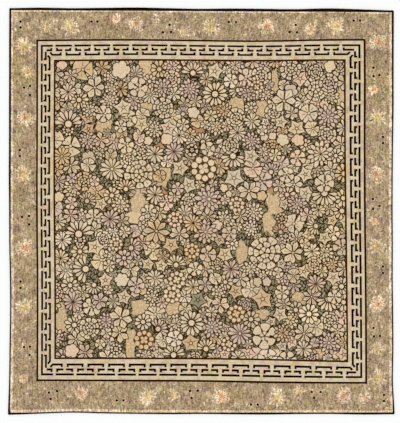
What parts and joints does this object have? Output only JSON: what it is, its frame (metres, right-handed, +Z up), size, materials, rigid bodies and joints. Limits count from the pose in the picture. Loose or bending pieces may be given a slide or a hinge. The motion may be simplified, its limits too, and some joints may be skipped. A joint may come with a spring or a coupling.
{
  "type": "chinese rug",
  "caption": "Large hand-knotted wool carpet, flat and nearly square, with a millefleurs field, a fret border, a wide floral border and a dark overcast edge.",
  "frame": {"origin": "middle of the carpet's underside, on the floor", "axes": "+Z up from the floor, +Y along the length towards the far end, +X across to the right"},
  "size_m": [3.4876, 3.6738, 0.011],
  "materials": {
    "knotted_wool": "cut wool pile, matte, worn and unevenly faded",
    "edging_wool": "matte dark brown wool yarn, wound over the rim"
  },
  "bodies": {
    "root": {"carpet_body": "knotted_wool", "edging_left": "edging_wool", "edging_right": "edging_wool", "edging_near": "edging_wool", "edging_far": "edging_wool"}
  },
  "joints": []
}
